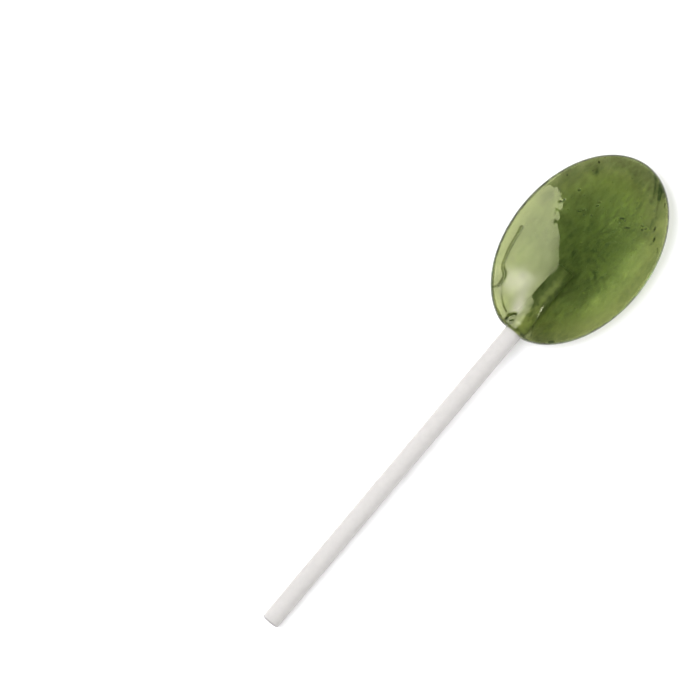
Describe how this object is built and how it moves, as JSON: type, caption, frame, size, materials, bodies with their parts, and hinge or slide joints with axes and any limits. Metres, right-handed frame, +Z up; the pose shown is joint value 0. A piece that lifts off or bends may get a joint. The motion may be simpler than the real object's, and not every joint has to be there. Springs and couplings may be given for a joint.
{
  "type": "oval lollipop",
  "caption": "Flat oval lollipop of clear green hard candy, domed on both faces with a thin rim, on a white rolled paper stick, lying face up.",
  "frame": {"origin": "centre of the bounding box in X and Y, on the surface the lollipop lies on", "axes": "+Y along the stick towards the candy's tip, +Z up out of the shown face, +X across the oval"},
  "size_m": [0.0282, 0.1144, 0.0075],
  "materials": {
    "hard_candy": "glossy translucent green hard candy, slightly rippled",
    "rolled_paper": "matte white, tightly rolled"
  },
  "bodies": {
    "root": {"candy_head": "hard_candy", "paper_stick": "rolled_paper"}
  },
  "joints": []
}
